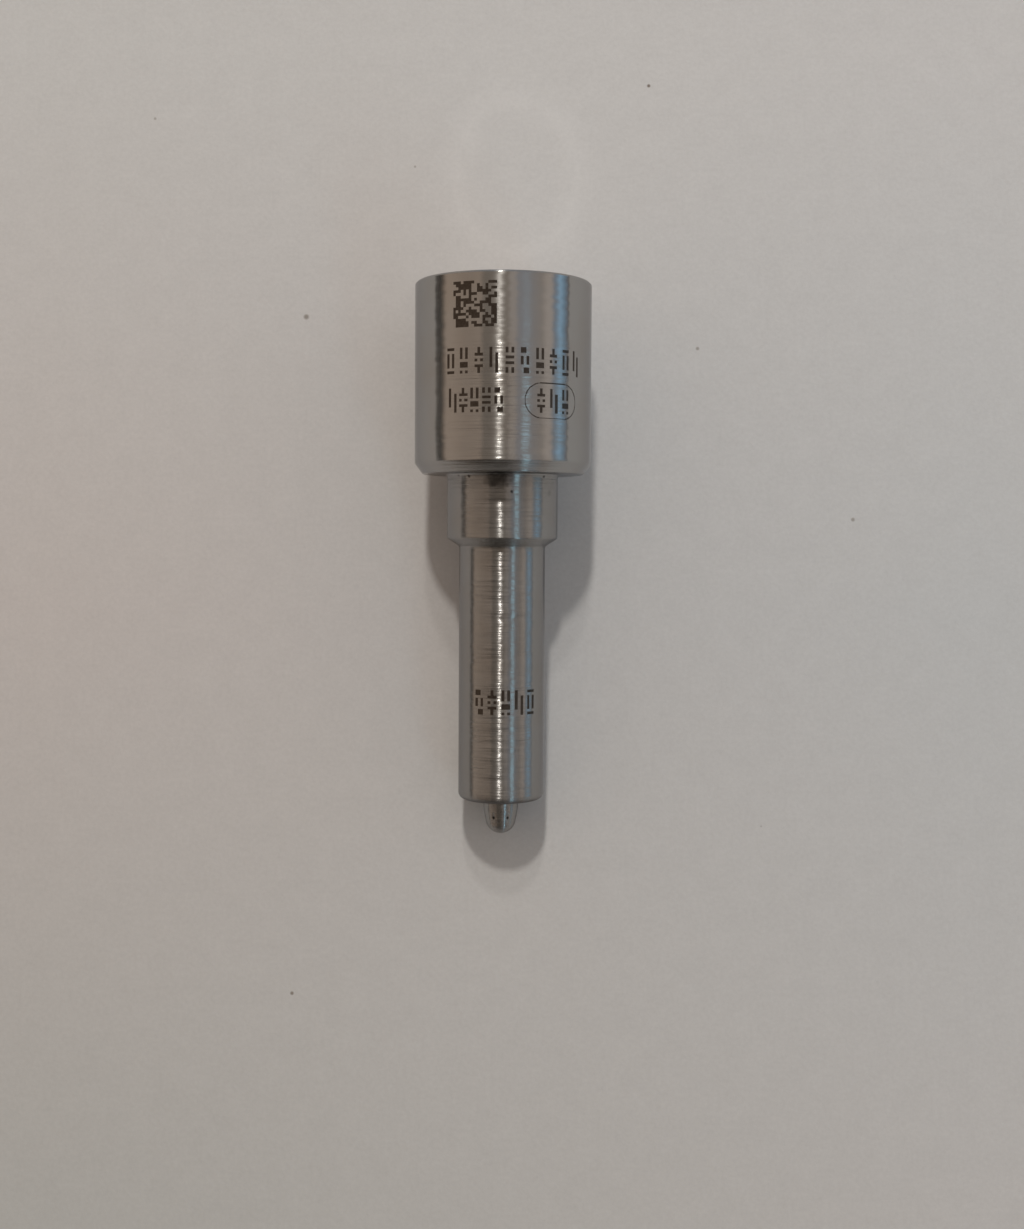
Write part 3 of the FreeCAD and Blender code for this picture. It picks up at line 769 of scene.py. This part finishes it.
def paper(name):
    """Pale drawing paper: soft fibres, a few specks of dust, painted light and shade across it, a faint ring
    of light from the lapped face.
    """
    n = Surface(name, metallic=0.0)
    x, y, _ = n.add("ShaderNodeSeparateXYZ", Vector=n.place_mm).outputs
    fibre = n.noise(n.place_mm, 0.45, 6.0, 0.62)
    fine = n.noise(n.place_mm, 2.6, 4.0, 0.65)
    across = n.spread(x, -VIEW_HALF_WIDE, VIEW_HALF_WIDE, 0.0, 1.0)
    along = n.spread(y, -VIEW_HALF_LONG, VIEW_HALF_LONG, 0.0, 1.0)
    # Painted light and shade: the paper's tone changes across the view, darker towards the near end, warmer
    # on the left and cooler on the right.
    left, right = (n.ramp(along, list(zip((0.0, 0.5, 1.0), tones))) for tones in (PAPER_LIGHT_LEFT, PAPER_LIGHT_RIGHT))
    fleck = n.total(n.spread(fine, 0.3, 0.7, -0.035, 0.035), n.spread(fibre, 0.3, 0.7, -0.02, 0.02))
    tone = n.vector("SCALE", n.blend(across, left, right), scale=n.total(thrown_ring(n, x, y), fleck))
    for spot_x, spot_y, size, dark in DUST:
        away = n.vector("DISTANCE", n.place_mm, (spot_x, spot_y, 0.0))
        tone = n.blend(n.spread(away, size * 0.4, size, dark, 0.0), tone, DUST_BROWN)
    shade = n.total(n.spread(x, -135.0, -100.0, 0.9, 0.0), n.spread(x, 190.0, 320.0, 0.0, 0.8))
    n.set("Base Color", n.blend(shade, tone, PAPER_SHADE))
    n.set("Roughness", n.spread(fine, 0.3, 0.7, 0.85, 0.95))
    n.set("Specular IOR Level", 0.2)
    n.relief(n.total(fibre, n.product(fine, 0.3)), 0.3, 0.08)
    return n.material


def make_floor():
    mesh = bpy.data.meshes.new("floor")
    corners = [(FLOOR_HALF * side, FLOOR_HALF * end, 0) for side, end in ((-1, -1), (1, -1), (1, 1), (-1, 1))]
    mesh.from_pydata(corners, [], [(0, 1, 2, 3)])
    floor = bpy.data.objects.new("floor", mesh)
    bpy.context.scene.collection.objects.link(floor)
    floor.location = FLOOR_POINT + FLOOR_ALONG * FLOOR_SHIFT
    floor.rotation_euler = (-TILT, 0, 0)
    mesh.materials.append(paper("paper"))


# ------------------------------------------------------------------ lights
WARM, SAND, CREAM, PLAIN = (1.0, 0.80, 0.65), (1.0, 0.84, 0.70), (1.0, 0.88, 0.79), (1.0, 0.94, 0.87)
GREY, DUSK, SKY = (1.0, 0.97, 1.0), (0.70, 0.82, 1.0), (0.45, 0.73, 1.0)
# The room by angle about the nozzle's axis, from straight down on the left, over the top, to the right:
# first and last degree of each band, brightness, tint. Between two bands the light changes evenly.
BANDS = [
    (-180, -180, 0.30, PLAIN),  # the table, far below
    (-102, -102, 0.16, WARM),
    (-97, -93, 0.12, WARM),  # foot of the wall
    (-88, -88, 0.07, PLAIN),  # dark gap
    (-83, -83, 0.21, WARM),
    (-78, -70, 0.51, WARM),  # lit wall
    (-50, -40, 0.44, WARM),
    (-30, -30, 0.48, WARM),  # its edge
    (-24, -17, 0.30, SAND),  # the onlooker's shade
    (-2, 5, 0.32, SAND),
    (10, 15, 0.52, CREAM),  # ceiling
    (20, 31, 0.38, GREY),
    (50, 50, 0.42, CREAM),
    (58, 64, 0.57, CREAM),
    (70, 70, 0.42, DUSK),  # window frame
    (78, 78, 0.98, SKY),  # window on the right
    (84, 84, 0.60, SKY),
    (90, 94, 0.32, DUSK),  # under the window
    (100, 180, 0.27, PLAIN),  # the table again
]
FAR_END = (0.25, 0.28, 0.34, 1)
NEAR_LEFT, NEAR_RIGHT = (0.165, 0.15, 0.145, 1), (0.27, 0.27, 0.28, 1)
CALM, CALM_TURN = (0.30, 0.32, 0.32, 1), 78
ONLOOKER, ONLOOKER_TURN = (0.45, 0.45, 0.45, 1), -12
WINDOW, WINDOW_TURN = (1.05, 1.75, 2.1, 1), 30
LOW_PANE, LOW_PANE_TURN = (0.25, 0.38, 0.50, 1), 42


def band_stops():
    """The bands as places along 0..1 and colours."""
    stops = []
    for first, last, bright, tint in BANDS:
        color = tuple(bright * part for part in tint)
        stops += [((turn + 180) / 360, color) for turn in sorted({first, last})]
    return stops


def make_room():
    """Bands of light round the axis, with patches over them that lie towards one end or the other."""
    world = bpy.data.worlds.new("room")
    bpy.context.scene.world = world
    world.use_nodes = True
    n = Nodes(world.node_tree)
    way = n.tree.nodes.new("ShaderNodeTexCoord").outputs["Generated"]
    x, y, z = n.add("ShaderNodeSeparateXYZ", Vector=way).outputs
    # Half of the light's turn about the axis: a normal with that turn mirrors it straight up.
    # The nudge keeps it defined for light from straight below.
    half = n.math("ARCTAN2", x, n.total(z, 1.0001))

    def towards(turn_deg, inner, outer):
        """1 near this turn, 0 beyond the outer half angle, in radians."""
        return n.spread(n.gap(half, math.radians(turn_deg / 2)), inner, outer, 1.0, 0.0, smooth=True)

    def fade(value, low, high, to_low, to_high):
        return n.spread(value, low, high, to_low, to_high, smooth=True)

    share = n.total(n.math("DIVIDE", half, math.pi), 0.5)
    color = n.blend(fade(y, 0.70, 0.98, 0.0, 1.0), n.ramp(share, band_stops()), FAR_END)
    near = n.blend(fade(half, -0.35, 0.05, 0.0, 1.0), NEAR_LEFT, NEAR_RIGHT)
    color = n.blend(fade(y, -0.68, -0.17, 1.0, 0.0), color, near, "MULTIPLY")
    calm = n.product(towards(CALM_TURN, 0.07, 0.12), fade(y, -0.08, 0.06, 1.0, 0.0))
    color = n.blend(calm, color, CALM)
    onlooker = n.product(towards(ONLOOKER_TURN, 0.18, 0.28), fade(y, -0.42, -0.20, 1.0, 0.0))
    color = n.blend(onlooker, color, ONLOOKER, "MULTIPLY")
    window = n.product(towards(WINDOW_TURN, 0.02, 0.06), fade(y, -0.45, -0.25, 1.0, 0.0),
                       fade(y, -0.80, -0.62, 0.0, 1.0))
    color = n.blend(window, color, WINDOW)
    low_pane = n.product(towards(LOW_PANE_TURN, 0.05, 0.16), fade(y, -0.90, -0.72, 1.0, 0.0))
    color = n.blend(low_pane, color, LOW_PANE)
    background = n.tree.nodes["Background"]
    n.feed(background, "Color", color)
    n.feed(background, "Strength", 1.0)


def lamp(name, elevation, turn, strength, size_deg, color):
    """A distant lamp, by its elevation over the paper and its turn from the collar's end towards +X."""
    data = bpy.data.lights.new(name, "SUN")
    data.energy = strength
    data.angle = math.radians(size_deg)
    data.color = color
    e, t = math.radians(elevation), math.radians(turn)
    flat = FLOOR_ALONG * math.cos(t) + Vector((1, 0, 0)) * math.sin(t)
    towards = flat * math.cos(e) + FLOOR_UP * math.sin(e)
    light = bpy.data.objects.new(name, data)
    light.rotation_mode = "QUATERNION"
    light.rotation_quaternion = towards.to_track_quat("Z", "Y")
    bpy.context.scene.collection.objects.link(light)


def make_lights():
    make_room()
    lamp("ceiling_lamp", elevation=48.5, turn=-5.9, strength=0.84, size_deg=3.6, color=(1.0, 0.955, 0.89))
    lamp("second_lamp", elevation=40, turn=-3.0, strength=0.26, size_deg=3.0, color=(1.0, 0.95, 0.89))


# ------------------------------------------------------------------ camera
CAMERA_AT = Vector((0.8386, -20.425, 124.513)) * MM
CAMERA_LEAN, CAMERA_ROLL = math.radians(2.9165), math.radians(-0.345)
SENSOR_MM, LENS_MM = 36, 44.575


def make_camera():
    """From straight above, leaning a little, the collar's end a little nearer."""
    data = bpy.data.cameras.new("camera")
    data.sensor_fit = "AUTO"
    data.sensor_width = SENSOR_MM
    data.lens = LENS_MM
    data.clip_start, data.clip_end = 0.005, 5
    camera = bpy.data.objects.new("camera", data)
    bpy.context.scene.collection.objects.link(camera)
    forward = Vector((0, -math.sin(CAMERA_LEAN), -math.cos(CAMERA_LEAN)))
    up = Vector((0, math.cos(CAMERA_LEAN), -math.sin(CAMERA_LEAN)))
    up = Matrix.Rotation(CAMERA_ROLL, 3, forward) @ up
    turn = Matrix((forward.cross(up), up, -forward)).transposed()
    camera.matrix_world = Matrix.Translation(CAMERA_AT) @ turn.to_4x4()
    bpy.context.scene.camera = camera


make_camera()
make_body()
make_needle()
make_rings()
make_spring()
make_floor()
make_lights()
bpy.context.scene.view_settings.view_transform = "Standard"
